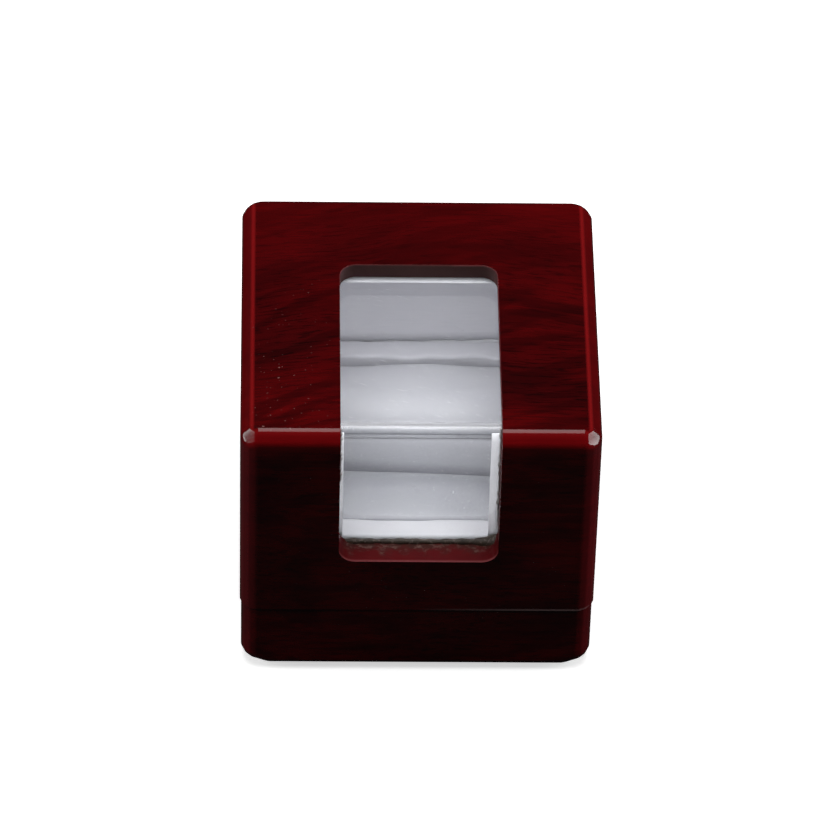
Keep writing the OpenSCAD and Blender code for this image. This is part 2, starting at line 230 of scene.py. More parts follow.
def bridge(bm, rings):
    """Joins each ring of points to the next and closes the two ends."""
    for first, second in zip(rings, rings[1:]):
        for k in range(len(first)):
            n = (k + 1) % len(first)
            bm.faces.new((first[k], first[n], second[n], second[k]))
    bm.faces.new(rings[0])
    bm.faces.new(rings[-1][::-1])
    return bm


def prism(outline, axis, lo, hi):
    """Solid over a closed outline in the other two axes, from lo to hi along axis."""
    def place(p, level):
        spot = [p[0], p[1]]
        spot.insert(axis, level)
        return spot

    bm = bmesh.new()
    return bridge(bm, [[bm.verts.new(place(p, level)) for p in outline] for level in (lo, hi)])


def arc(cx, cy, r, start, end, steps=ARC_STEPS):
    turn = [math.radians(start + (end - start) * i / steps) for i in range(steps + 1)]
    return [(cx + r * math.cos(a), cy + r * math.sin(a)) for a in turn]


def round_corners(lo, hi, r, which=(0, 1, 2, 3)):
    """Arcs at a rectangle's corners, anticlockwise from the one at hi."""
    x0, x1 = lo[0] + r, hi[0] - r
    y0, y1 = lo[1] + r, hi[1] - r
    spots = ((x1, y1), (x0, y1), (x0, y0), (x1, y0))
    return [p for k in which for p in arc(*spots[k], r, 90 * k, 90 * k + 90)]


def box_form(lo, hi):
    return prism([(lo[0], lo[1]), (hi[0], lo[1]), (hi[0], hi[1]), (lo[0], hi[1])], 2, lo[2], hi[2])


def cut(made, *forms, operation="DIFFERENCE"):
    """Cuts the forms out of the piece in turn, or keeps what it shares with them."""
    for form in forms:
        tool = piece("cutter", mesh_of(form, False))
        modified(made, "BOOLEAN", object=tool, operation=operation, solver="EXACT")
        bpy.data.objects.remove(tool)
    return made


# %% [markdown]
# Shader maths reads best as plain expressions. `Value` wraps a node's output and turns `+`, `-` and
# `*` into Math nodes; `Tree.node` makes any other node from its inputs and settings. `speck` is noise
# on a piece's own coordinates, and `coats` lays colours over one another through their masks.

# %% Writing materials as expressions
class Value:
    def __init__(self, tree, socket):
        self.tree = tree
        self.socket = socket

    def _math(self, operation, a, b=0.0):
        return self.tree.node("Math", {0: a, 1: b}, operation=operation)[0]

    def __add__(self, other):
        return self._math("ADD", self, other)

    def __sub__(self, other):
        return self._math("SUBTRACT", self, other)

    def __rsub__(self, other):
        return self._math("SUBTRACT", other, self)

    def __mul__(self, other):
        return self._math("MULTIPLY", self, other)

    __radd__ = __add__
    __rmul__ = __mul__

    def size(self):
        return self._math("ABSOLUTE", self)

    def most(self, other):
        return self._math("MAXIMUM", self, other)

    def ramp(self, lo, hi, to_lo=0.0, to_hi=1.0, clamp=True):
        inputs = {"Value": self, "From Min": lo, "From Max": hi, "To Min": to_lo, "To Max": to_hi}
        return self.tree.node("MapRange", inputs, clamp=clamp)[0]

    def near(self, level, far, close):
        """1 within close of the level, and 0 beyond far from it."""
        return (self - level).size().ramp(far, close)


class Tree:
    """The nodes of a new material, or of a new world."""

    def __init__(self, name, store=bpy.data.materials):
        self.owner = store.new(name)
        self.owner.use_nodes = True
        self.nodes = self.owner.node_tree.nodes
        self.links = self.owner.node_tree.links
        self.nodes.clear()

    def node(self, kind, inputs=None, **settings):
        made = self.nodes.new("ShaderNode" + kind)
        for key, setting in settings.items():
            setattr(made, key, setting)
        for key, given in (inputs or {}).items():
            if isinstance(given, Value):
                self.links.new(given.socket, made.inputs[key])
            else:
                made.inputs[key].default_value = given
        return [Value(self, out) for out in made.outputs]

    def place(self, scale=(1, 1, 1), turn=(0, 0, 0)):
        """Object coordinates in millimetres, turned and then stretched."""
        spot = self.node("TexCoord")[3]
        turned = self.node("Mapping", {"Vector": spot, "Scale": [1 / mm] * 3, "Rotation": turn})[0]
        return self.node("Mapping", {"Vector": turned, "Scale": scale})[0]

    def split(self, spot):
        return self.node("SeparateXYZ", {0: spot})

    def join(self, x, y, z):
        return self.node("CombineXYZ", {0: x, 1: y, 2: z})[0]

    def noise(self, spot, detail, rough=0.5):
        inputs = {"Vector": spot, "Scale": 1.0, "Detail": detail, "Roughness": rough}
        return self.node("TexNoise", inputs)[0]

    def speck(self, fine, detail, rough=0.5, turn=(0, 0, 0)):
        """Noise with spots about 1 / fine mm wide; fine is one number, or one for each axis."""
        scale = fine if isinstance(fine, tuple) else (fine,) * 3
        return self.noise(self.place(scale, turn), detail, rough)

    def mix(self, factor, a, b):
        return self.node("Mix", {0: factor, 6: a, 7: b}, data_type="RGBA")[2]

    def coats(self, color, *layers):
        """The colour under layers of (mask, red, green, blue), the last on top."""
        for mask, *tone in layers:
            color = self.mix(mask, color, rgb(*tone))
        return color

    def bump(self, height, strength, distance):
        return self.node("Bump", {"Height": height, "Strength": strength, "Distance": distance})[0]

    def surface(self, **inputs):
        named = {key.replace("_", " "): given for key, given in inputs.items()}
        return self.finish(self.node("BsdfPrincipled", named)[0])

    def finish(self, shader, output="OutputMaterial"):
        self.node(output, {"Surface": shader})
        return self.owner


def rgb(r, g, b):
    return (r, g, b, 1.0)


# %% [markdown]
# The wood is stained deep red under clear gloss lacquer. Short dark fibres follow a grain that
# wanders from straight, thicker in some zones of the board than in others, over wide soft bands.
# The grain runs across the front, back and top, and from front to back on the sides, so the same
# finish is made twice with its pattern turned. Highlights are painted into the red as lighter red
# on the long edges of the top, below its front edge, on the upright corners and on the seam's lip,
# and a little dust lies on one side. The third finish is for the window's cut: sanded and sealed,
# darker brown along the sheet with pale crumbs, and with painted highlight lines on its rims.
# The masks' numbers are millimetres in the box's frame, where each mark begins and ends.

# %% Lacquered wood
ACROSS = (0, 0, 0)
ALONG = (0, 0, math.radians(90))


def wood_color(tree, turn):
    """Red wood with a wandering grain: zones, bands, an askew figure, streaks and dark dashes."""
    x, y, z = tree.split(tree.place(turn=turn))
    wander = tree.noise(tree.join(x * 0.018, y * 0.03, z * 0.03), 1.0)
    y = y + (wander - 0.5) * 22.0

    def fibre(along, across, detail, rough=0.6):
        return tree.noise(tree.join(x * along, y * across, z * across), detail, rough)

    zones = fibre(0.035, 0.055, 2.0, 0.5)
    bands = fibre(0.022, 0.34, 2.0)
    streaks = fibre(0.08, 1.0, 3.0)
    dashes = fibre(0.22, 2.3, 2.0)
    askew = y - x * 0.38
    figure = tree.noise(tree.join(x * 0.035, askew * 0.24, z * 0.24), 2.0)
    dark = dashes.ramp(0.54, 0.63) * (zones.ramp(0.40, 0.62) * 0.5 + 0.28)
    red = tree.coats(
        rgb(0.108, 0.0013, 0.0021),
        (zones.ramp(0.34, 0.64), 0.052, 0.0010, 0.0017),
        (bands.ramp(0.52, 0.66) * 0.55, 0.018, 0.0006, 0.0011),
        (figure.ramp(0.50, 0.62) * 0.55, 0.020, 0.0006, 0.0011),
        (streaks.ramp(0.42, 0.70) * 0.55, 0.022, 0.0006, 0.0012),
        (dark, 0.007, 0.0005, 0.0009),
    )
    return red, dashes


def edge_wear(tree, red):
    """Painted highlights as lighter red on the top's side and front edges, below the front edge, on
    the upright corners and on the seam's lip at the right; a dark line at the seam, the top's red
    growing lighter toward the back, and dust on the top's left.
    """
    x, y, z = tree.split(tree.place())
    out = x.size()
    seam = SEAM_Z / mm
    on_top = z.ramp(58.6, 59.5)
    side = out.near((LID_X - TOP_CHAMFER * 0.5) / mm, 1.7, 1.0) * z.ramp(57.0, 58.5)
    line = out.near((LID_X - TOP_CHAMFER * 1.05) / mm, 0.5, 0.1)
    front = y.near(-(LID_Y - TOP_CHAMFER * 0.8) / mm, 0.9, 0.2)
    band = z.ramp(56.0, 58.4) * y.ramp(-30.0, -31.4)
    lip = z.near(seam + 0.25, 0.30, 0.15) * x.ramp(0.0, 20.0) * y.ramp(-31.0, -32.0)
    corner = (out + y.size()).ramp(61.6, 62.6) * z.ramp(58.0, 56.0)
    crumbs = tree.speck(1.5, 1.0).ramp(0.71, 0.74)
    patch = tree.speck(0.13, 1.0).ramp(0.44, 0.56)
    dusty = x.ramp(-15.0, -22.0) * y.ramp(10.0, 0.0) * z.ramp(59.7, 59.9) * patch
    # Painted light: the lighter reds on the top's side and front edges, under the front edge and on
    # the upright corners, and the pale seam lip, are painted highlights; the dark seam line is the
    # joint and the pale crumbs are dust.
    return tree.coats(
        red,
        (y.ramp(2.0, 26.0) * on_top * 0.28, 0.125, 0.0016, 0.0026),
        (side * 0.5, 0.14, 0.003, 0.004),
        (line.most(front) * on_top * 0.8, 0.24, 0.007, 0.008),
        (band * 0.55, 0.24, 0.003, 0.005),
        (z.near(seam, 0.16, 0.08) * 0.85, 0.003, 0.0008, 0.0008),
        (lip * 0.9, 0.26, 0.17, 0.17),
        (corner * 0.5, 0.17, 0.012, 0.016),
        (crumbs * dusty * 0.5, 0.34, 0.17, 0.16),
    )


def cut_soiling(tree, red):
    """Darker brown on the sill along the sheet with pale crumbs, a grey rear end, and painted
    highlight lines on the sill's front rim and the top opening's rim.
    """
    x, y, z = tree.split(tree.place())
    depth = (pane_lo.y / mm - y).size() + tree.speck(0.5, 3.0, 0.6) * 6.5
    near = depth.ramp(6.4, 3.6) * z.ramp(30.5, 29.0)
    crumbs = tree.speck((0.9, 1.2, 1.2), 3.0, 0.6).ramp(0.50, 0.66)
    rim_highlight = (y.ramp(-31.9, -32.25) * z.ramp(32.0, 30.0)).most(z.ramp(59.65, 59.9))
    # Painted highlight: the pale red lines along the sill's front rim and the top opening's rim stand
    # in for light on those edges.
    return tree.coats(
        red,
        (near * 0.7, 0.030, 0.019, 0.014),
        (crumbs * near * 0.55, 0.20, 0.13, 0.11),
        (y.ramp(9.0, 12.0) * 0.8, 0.085, 0.052, 0.050),
        (rim_highlight * 0.55, 0.27, 0.07, 0.075),
    )


def gloss_coat(tree, haze):
    """Weight of the clear coat, thinner on the front edge, the right corner and the rear ones."""
    x, y, z = tree.split(tree.place())
    front = y.ramp(-29.0, -30.5) * z.ramp(57.5, 58.5)
    upright = x.ramp(29.0, 30.5) * y.ramp(-27.0, -29.0) * z.ramp(56.0, 54.0)
    rear = x.size().ramp(27.5, 29.0) * y.ramp(27.5, 29.0) * z.ramp(54.0, 56.0)
    coat = haze.ramp(0.35, 0.65, 0.85, 1.0) * (1.0 - front.most(upright) * 0.7)
    return coat * (1.0 - rear * 0.9)


def lacquered_wood(name, turn, polished=True):
    tree = Tree(name)
    red, dashes = wood_color(tree, turn)
    if polished:
        red = edge_wear(tree, red)
    else:
        red = cut_soiling(tree, tree.mix(0.65, red, rgb(0.115, 0.005, 0.007)))
    haze = tree.speck(0.09, 3.0)
    peel = tree.speck(0.8, 2.0)
    return tree.surface(
        Base_Color=red,
        Roughness=haze.ramp(0.3, 0.8, 0.09, 0.20) if polished else haze.ramp(0.3, 0.8, 0.42, 0.60),
        Normal=tree.bump(peel * 0.7 + dashes * 0.3, 0.2, 0.02 * mm),
        IOR=1.5,
        Specular_IOR_Level=0.15 if polished else 0.06,
        Coat_Weight=gloss_coat(tree, haze) if polished else 0.0,
        Coat_Roughness=0.06,
    )


wood_across = lacquered_wood("lacquered_wood_across", ACROSS)
wood_along = lacquered_wood("lacquered_wood_along", ALONG)
wood_edge = lacquered_wood("lacquered_wood_cut", ACROSS, polished=False)
print("wood finishes", [m.name for m in (wood_across, wood_along, wood_edge)])

# %% [markdown]
# The lid is one lacquered shell: its boards are mitred and glued, filled and polished, so no joint
# shows. The block is hollowed, the L-shaped window is cut through top and front with round
# corners, and the underside of the top is rebated for the sheet. The pockets of hinges and magnets
# are cut as well, and then lacquer pulls thin and round on every edge, which a small bevel gives.

# %% Lid and base in wood
HINGE_NODES = ("hinge_{}_leaf_left", "hinge_{}_leaf_right")
LEAF_T = 0.8 * mm
SPARE = 4 * mm


def window_forms():
    """The opening in the top, the opening in the front, and the rebate for the sheet."""
    past = 2 * mm
    x = WINDOW_X
    front_y = -LID_Y - past
    over_z = TOP_Z + past
    level = [(-x, front_y), (x, front_y)]
    level += round_corners((-x, front_y), (x, WINDOW_BACK_Y), WINDOW_R, (0, 1))
    upright = [(x, over_z), (-x, over_z)]
    upright += round_corners((-x, SILL_Z), (x, over_z), WINDOW_R, (2, 3))
    rebate_lo = (pane_lo.x - 0.15 * mm, pane_lo.y - 0.1 * mm, PANEL_Z - past)
    rebate_hi = (pane_hi.x + 0.15 * mm, pane_hi.y + 0.15 * mm, pane_hi.z)
    return [
        prism(level, 2, PANEL_Z - past, over_z),
        prism(upright, 1, front_y, pane_lo.y + 0.5 * mm),
        box_form(rebate_lo, rebate_hi),
    ]


def pockets(body):
    """Mortises of the hinge leaves and holes of the magnets in one rim."""
    down = body == "base"
    forms = []
    z0, z1 = (SEAM_Z - LEAF_T, SEAM_Z + mm) if down else (SEAM_Z - mm, SEAM_Z + LEAF_T)
    for pattern in HINGE_NODES:
        lo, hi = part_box(pattern.format(body))
        forms.append(box_form((lo.x, lo.y, z0), (hi.x, LID_Y + mm, z1)))
    lo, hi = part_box(body + "_magnets")
    z0, z1 = (lo.z, SEAM_Z + mm) if down else (SEAM_Z - mm, hi.z)
    r = (hi.y - lo.y) / 2
    for x in (lo.x + r, hi.x - r):
        round_hole = arc(x, (lo.y + hi.y) / 2, r + 0.05 * mm, 0, 345, 23)
        forms.append(prism(round_hole, 2, z0, z1))
    return forms


def grain_of(mesh):
    """Faces on the left and right sides take the grain that runs from front to back."""
    for face in mesh.polygons:
        side = abs(face.normal.x) > 0.9 and abs(face.center.x) > LID_X - 3 * mm
        face.material_index = 1 if side else 0


def soften(made, width):
    return modified(made, "BEVEL", width=width, segments=2, limit_method="ANGLE",
                    angle_limit=math.radians(30))


def dull_cut(mesh):
    """The window's cut faces are sanded and sealed but not polished."""
    near = 0.4 * mm
    for face in mesh.polygons:
        x, y, z = face.center
        inside = abs(x) < WINDOW_X + near and y < WINDOW_BACK_Y + near and z > SILL_Z - near
        outer = face.normal.y < -0.95 and y < -LID_Y + 0.1 * mm
        outer = outer or (face.normal.z > 0.95 and z > TOP_Z - 0.1 * mm)
        if inside and not outer:
            face.material_index = 2


def wooden_case(body, planes, forms, parts):
    mesh = mesh_of(rounded_solid(planes, EDGE_ROUND), False)
    made = piece(body + "_case", mesh, wood_across, wood_along, wood_edge)
    grain_of(made.data)
    cut(made, *forms, *pockets(body))
    soften(made, CUT_ROUND)
    if body == "lid":
        dull_cut(made.data)
    shade(made.data).set_sharp_from_angle(angle=math.radians(32))
    modified(made, "WEIGHTED_NORMAL", keep_sharp=True)
    settle(made, body, [body + "_" + part for part in parts])


def slab(x, y, z0, z1):
    return box_form((-x, -y, z0), (x, y, z1))


walls = ("front_wall", "back_wall", "left_wall", "right_wall")
lid_cuts = [
    slab(LID_X + mm, LID_Y + mm, SEAM_Z - SPARE - mm, SEAM_Z),
    slab(HOLLOW_X, HOLLOW_Y, SEAM_Z - mm, PANEL_Z),
]
base_cuts = [
    slab(LID_X + mm, LID_Y + mm, SEAM_Z, SEAM_Z + SPARE + mm),
    slab(HOLLOW_X, HOLLOW_Y, FOOT_Z - mm, SEAM_Z + mm),
]
lid_planes = case_planes(LID_X, LID_Y, SEAM_Z - SPARE, TOP_Z, TOP_CHAMFER, TOP_FACET)
base_planes = case_planes(BASE_X, BASE_Y, SEAM_Z + SPARE, FOOT_Z, FOOT_CHAMFER, 0)
wooden_case("lid", lid_planes, lid_cuts + window_forms(), ("top_panel", *walls))
wooden_case("base", base_planes, base_cuts, walls)

# %% [markdown]
# The window is one sheet of clear acrylic, heated and bent along a line and glued behind the wood.
# The sheet is a swept profile with a true inner and outer radius, because the lines of light
# that mark the bend come from its curved glass. Shadow rays pass it, so the inside stays lit.

# %% Clear sheet
def clear_acrylic():
    tree = Tree("clear_acrylic")
    scratch = tree.speck((0.35, 6.0, 6.0), 2.0, turn=(0, 0, 0.4))
    dust = tree.speck(2.6, 1.0)
    marks = scratch.ramp(0.70, 0.74).most(dust.ramp(0.76, 0.79))
    sheet = tree.node("BsdfPrincipled", {
        "Base Color": rgb(0.965, 0.97, 0.985),
        "Roughness": marks.ramp(0, 1, 0.015, 0.35),
        "Transmission Weight": 1.0,
        "IOR": 1.49,
        "Normal": tree.bump(tree.speck(0.05, 1.0), 0.4, 0.15 * mm),
    })[0]
    clear = tree.node("BsdfTransparent", {"Color": rgb(0.93, 0.94, 0.95)})[0]
    is_shadow = tree.node("LightPath")[1]
    return tree.finish(tree.node("MixShader", {0: is_shadow, 1: sheet, 2: clear})[0])


def bent_sheet():
    y0 = pane_lo.y
    z1 = pane_hi.z
    middle = (y0 + BEND_R, z1 - BEND_R)
    outer = [(y0, pane_lo.z)] + arc(*middle, BEND_R, 180, 90, 16) + [(pane_hi.y, z1)]
    inside = [(pane_hi.y, z1 - PANE_T)] + arc(*middle, BEND_R - PANE_T, 90, 180, 16)
    inside += [(y0 + PANE_T, pane_lo.z)]
    return prism(outer + inside, 0, pane_lo.x, pane_hi.x)


pane = piece("bent_window_sheet", mesh_of(bent_sheet()), clear_acrylic())
pane.data.set_sharp_from_angle(angle=math.radians(30))
settle(pane, "lid", ["window_pane"])

# %% [markdown]
# The sheet is held by glue that was pushed out a little: a dark, dirty bead along the foot of the
# sheet, thicker toward the right corner, and small clear-white bits up its sides. Each bead is a
# rope of changing thickness laid along a line on the sheet's face.

# %% Glue along the sheet
def glue_finish(name, base, crumb, low, high):
    tree = Tree(name)
    blotch = tree.speck(0.6, 3.0, 0.6)
    grit = tree.speck(1.7, 2.0, 0.6)
    shaded = rgb(*(c * 0.6 for c in base))
    color = tree.mix(blotch.ramp(0.35, 0.7), rgb(*base), shaded)
    color = tree.coats(color, (grit.ramp(0.56, 0.64) * 0.75, *crumb))
    return tree.surface(Base_Color=color, Roughness=blotch.ramp(0.3, 0.7, low, high),
                        Normal=tree.bump(grit, 0.6, 0.1 * mm))


def rope(name, path, thickness, finish):
    """Rope round a list of points, thickness(t) thick at each, closed at both ends."""
    bm = bmesh.new()
    rings = []
    count = len(path) - 1
    turns = [2 * math.pi * k / ROPE_SIDES for k in range(ROPE_SIDES)]
    for i, spot in enumerate(path):
        ahead = Vector(path[min(i + 1, count)]) - Vector(path[max(i - 1, 0)])
        across = ahead.cross(Vector((0.31, 0.52, 0.79))).normalized()
        other = ahead.cross(across).normalized()
        r = thickness(i / count)
        rings.append([bm.verts.new(Vector(spot) + (across * math.cos(a) + other * math.sin(a)) * r)
                      for a in turns])
    made = piece(name, mesh_of(bridge(bm, rings)), finish)
    return settle(made, "lid")


def uneven(t, seed):
    """Between 0 and 1, changing every few steps along a rope."""
    return 0.5 + 0.5 * math.sin(t * 41 + seed) * math.sin(t * 23.7 + seed * 2.1)


ROPE_SIDES = 8
ROPE_STEPS = 90
dirt_glue = glue_finish("dirty_glue", (0.060, 0.042, 0.030), (0.17, 0.13, 0.11), 0.5, 0.7)
pale_glue = glue_finish("pale_glue", (0.85, 0.83, 0.83), (0.93, 0.92, 0.92), 0.3, 0.5)
shares = [i / ROPE_STEPS for i in range(ROPE_STEPS + 1)]
foot = [(-WINDOW_X + 2 * WINDOW_X * t, pane_lo.y, SILL_Z + 0.1 * mm) for t in shares]
rope("glue_foot", foot, lambda t: (0.45 + 0.3 * uneven(t, 1.0) + 1.3 * max(0, t - 0.85) / 0.15) * mm,
     dirt_glue)
for side, low_z, high_z, seed in ((-1, 44.0, 57.0, 2.0), (1, 33.0, 57.5, 4.0)):
    x = side * (WINDOW_X - 0.10 * mm)
    edge = [(x, pane_lo.y - 0.05 * mm, (low_z + (high_z - low_z) * t) * mm) for t in shares]
    rope("glue_side", edge, lambda t: (0.10 + 0.38 * uneven(t, seed) ** 2) * mm, pale_glue)

# %% [markdown]
# The satin is a dense, smooth white cloth over foam and card. Its threads are far finer than the
# forms, so they live in the finish as faint streaks one way under a soft sheen. Shade is painted
# into the colour: grey toward and in the slot, over the front pad, in the crease by the rear rim and
# at the hem, and darker whites for the pads and front rim, with a lighter white at the rear as
# painted light.

# %% Satin
SLOT_Y = 0.3 * mm
SLOT_SLANT = 0.055


def slot_shade(tree, color):
    """Painted shade: grey toward the ring slot, over the front pad, along the rear rim and in the
    slot itself.
    """
    x, y, z = tree.split(tree.place())
    off = y + x * SLOT_SLANT - SLOT_Y / mm
    behind = off.ramp(16.0, 3.5) * off.ramp(-0.6, 0.2)
    before = off.ramp(-20.0, -9.0, 0.60, 0.89) * off.ramp(0.2, -0.6)
    rear = y + tree.speck(0.11, 1.0) * 2.5
    # Painted shade: each layer darkens the white where the cushion's slopes, the rear crease and the
    # slot lie in shade.
    return tree.coats(
        color,
        (behind * behind * 0.89, 0.31, 0.315, 0.34),
        (before, 0.185, 0.19, 0.21),
        (rear.ramp(20.2, 23.2) * 0.55, 0.30, 0.305, 0.34),
        (off.size().ramp(1.8, 0.9) * 0.6, 0.14, 0.14, 0.17),
    )


def crease_shade(tree, color):
    """Painted shade: the board's face low in the crease by the cushion is grey."""
    z = tree.split(tree.place())[2]
    return tree.coats(color, (z.ramp(28.3, 27.7) * 0.2, 0.34, 0.34, 0.40))


def hem_shade(tree, color):
    """Painted shade: a soft grey line where the rear panel meets the hinge cloth, rising to the
    right.
    """
    x, y, z = tree.split(tree.place())
    over = z - (x * 0.030 + 28.4)
    return tree.coats(color, (over.ramp(1.5, 0.1) * 0.45, 0.42, 0.42, 0.48))


def satin(name, light, dark, shading=None, turn=ACROSS):
    tree = Tree("satin_" + name)
    thread = tree.speck((0.5, 9.0, 9.0), 2.0, 0.6, turn)
    cross = tree.speck((7.0, 0.8, 7.0), 1.0, 0.5, turn)
    soft = tree.speck(0.12, 3.0)
    color = tree.mix(soft.ramp(0.3, 0.7), dark, light)
    color = tree.coats(color, (thread.ramp(0.45, 0.75) * 0.2, 0.60, 0.60, 0.67))
    if shading:
        color = shading(tree, color)
    return tree.surface(
        Base_Color=color,
        Roughness=thread.ramp(0.3, 0.7, 0.34, 0.50),
        Sheen_Weight=0.15,
        Sheen_Roughness=0.4,
        Normal=tree.bump(thread * 0.6 + cross * 0.4, 0.25, 0.03 * mm),
    )


# clean_white is the cloth's own white. The pads and the front rim take darker copies of it as painted
# shade, and the rear lining and rear rim a lighter copy as painted light.
clean_white = rgb(0.88, 0.88, 0.90), rgb(0.84, 0.84, 0.87)
pad_white_painted_shade = rgb(0.70, 0.70, 0.725), rgb(0.66, 0.66, 0.695)
front_white_painted_shade = rgb(0.65, 0.65, 0.665), rgb(0.62, 0.62, 0.64)
white_painted_light = rgb(0.93, 0.925, 0.965), rgb(0.91, 0.905, 0.945)
satin_across = satin("across", *clean_white)
satin_along = satin("along", *clean_white, turn=ALONG)
satin_pad_painted_shade = satin("pad", *pad_white_painted_shade, slot_shade)
satin_rear_painted_light_and_shade = satin("rear", *white_painted_light, hem_shade)
satin_rim_painted_light_and_shade = satin("rim", *white_painted_light, crease_shade)
satin_front_painted_shade = satin("front", *front_white_painted_shade)
print("satin", satin_across.name, satin_pad_painted_shade.name, satin_rear_painted_light_and_shade.name)

# %% [markdown]
# The two halves of the ring cushion are foam under satin. Each starts as the foam block with a
# broad round toward the ring slot, and the cover is then blown up a little by a cloth
# simulation, so that it bellies and pulls as a stretched cover does. Cloth behaves badly on
# things this small, so the pad is simulated at ten times its size and shrunk again.

# %% Padded forms
SIM_SCALE = 10.0
SIM_FRAMES = 20
PRESSURE = 4.0
VOXEL = 6 * mm


def oval(edge, top, wide, high, steps):
    """Quarter of an oval, from the upright face at edge up to the top."""
    turns = [math.radians(90 / steps * k) for k in range(steps + 1)]
    return [(edge + (1 - math.cos(q)) * wide, top - (1 - math.sin(q)) * high) for q in turns]


def foam_block(lo, hi, round_front, round_back, round_side):
    """Block with oval upper edges of a given (width, height): front, back, and both sides."""
    def section(a, b, near, far):
        rise = oval(a, hi[2], near[0], near[1], 10)
        fall = oval(b, hi[2], -far[0], far[1], 10)[::-1]
        return [(a, lo[2])] + rise + fall + [(b, lo[2])]

    across = prism(section(lo[1], hi[1], round_front, round_back), 0, lo[0], hi[0])
    along = prism(section(lo[0], hi[0], round_side, round_side), 1, lo[1] - mm, hi[1] + mm)
    return cut(piece("pad", mesh_of(across)), along, operation="INTERSECT")


def swell(pad, lo, hi, cap):
    """Blows the cover up between its neighbours lo and hi, and moves no point further than cap."""
    pad.data.transform(Matrix.Scale(SIM_SCALE, 4))
    modified(pad, "REMESH", mode="VOXEL", voxel_size=VOXEL)
    start = np.array([v.co for v in pad.data.vertices])
    pin = pad.vertex_groups.new(name="foot")
    foot = [i for i, co in enumerate(start) if co[2] < lo[2] * SIM_SCALE + VOXEL]
    pin.add(foot, 1.0, "REPLACE")
    cloth = pad.modifiers.new("cover", "CLOTH")
    cloth.settings.use_pressure = True
    cloth.settings.uniform_pressure_force = PRESSURE
    cloth.settings.vertex_group_mass = "foot"
    cloth.settings.effector_weights.gravity = 0.0
    cloth.settings.quality = 5
    cloth.point_cache.frame_start = 1
    cloth.point_cache.frame_end = SIM_FRAMES
    for step in range(1, SIM_FRAMES + 1):
        scene.frame_set(step)
    finished(pad)
    scene.frame_set(1)
    moved = np.array([v.co for v in pad.data.vertices]) - start
    length = np.linalg.norm(moved, axis=1, keepdims=True)
    held = start + moved * np.minimum(1.0, cap * SIM_SCALE / np.maximum(length, 1e-9))
    held = np.clip(held / SIM_SCALE, lo, hi)
    pad.data.vertices.foreach_set("co", held.ravel())
    pad.data.update()
    print(pad.name, "swelled by up to", round(float(length.max()) / SIM_SCALE / mm, 2), "mm")


def slant(pad, lo, hi):
    """Turns the side at the slot a little askew, and lets the rear edge rise and fall."""
    for vertex in pad.data.vertices:
        x, y, _ = vertex.co
        share = max(0.0, 1 - abs(y - SLOT_Y) / (hi[1] - lo[1]))
        vertex.co.y -= SLOT_SLANT * x * share
        rear = max(0.0, 1 - abs(y - hi[1]) / (4 * mm))
        vertex.co.z += rear * 0.45 * mm * math.sin(x * 0.23 / mm + 1.2)


def cushion_half(where, round_front, round_back, rise=0.0):
    node = "ring_cushion_" + where
    lo, hi = (np.array(corner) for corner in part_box(node))
    drawn_in = np.array((0.2, 0.2, 0.0)) * mm
    shoulder = (1.6 * mm, 1.6 * mm)
    top = np.array((-0.2, -0.2, 0.3)) * mm + (0, 0, rise)
    pad = foam_block(lo + drawn_in, hi + top, round_front, round_back, shoulder)
    pad.name = "ring_pad_" + where
    room = np.array((0.25, 0.25, 0.0)) * mm
    swell(pad, lo - room, hi + room + (0, 0, 0.6 * mm + rise), 0.5 * mm)
    pad.data.materials.append(satin_pad_painted_shade)
    shade(pad.data)
    modified(pad, "SUBSURF", levels=1, render_levels=1)
    slant(pad, lo, hi)
    settle(pad, "base", [node])


cushion_half("front", (1.6 * mm, 1.0 * mm), (14.5 * mm, 10 * mm))
cushion_half("back", (15 * mm, 10.9 * mm), (0.9 * mm, 0.4 * mm), rise=0.4 * mm)

# %% [markdown]
# Satin-wrapped boards frame the cushion. Each is a board with its top edges rounded by the cloth,
# mitred to its neighbours. The outline is swept along the board in short steps, so that the cover can
# wander a little from straight, as cloth that is pulled over an edge by hand does.

# %% Tray boards in satin
RIM_R = 0.8 * mm
RIM_W = 4.6 * mm
BOARD_STEPS = 60
well_lo, well_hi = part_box("cushion_card")


def ripple(t, seed, size):
    return size * (math.sin(t * 5.1 + seed * 2.3) + 0.6 * math.sin(t * 12.7 + seed * 4.1)) / 1.6


def board_outline(inner, outer, wall, foot, step, top, side, outer_r):
    """Section of a board: the face at the well, the rounded top, and the step on the wall."""
    outline = [(inner, foot)] + oval(inner, top, side * RIM_R, RIM_R, 6)
    outline += [((inner + outer) / 2, top + 0.1 * mm)]
    outline += oval(outer, top, -side * outer_r, outer_r, 6)[::-1]
    return outline + [(outer, step), (wall, step), (wall, foot)]


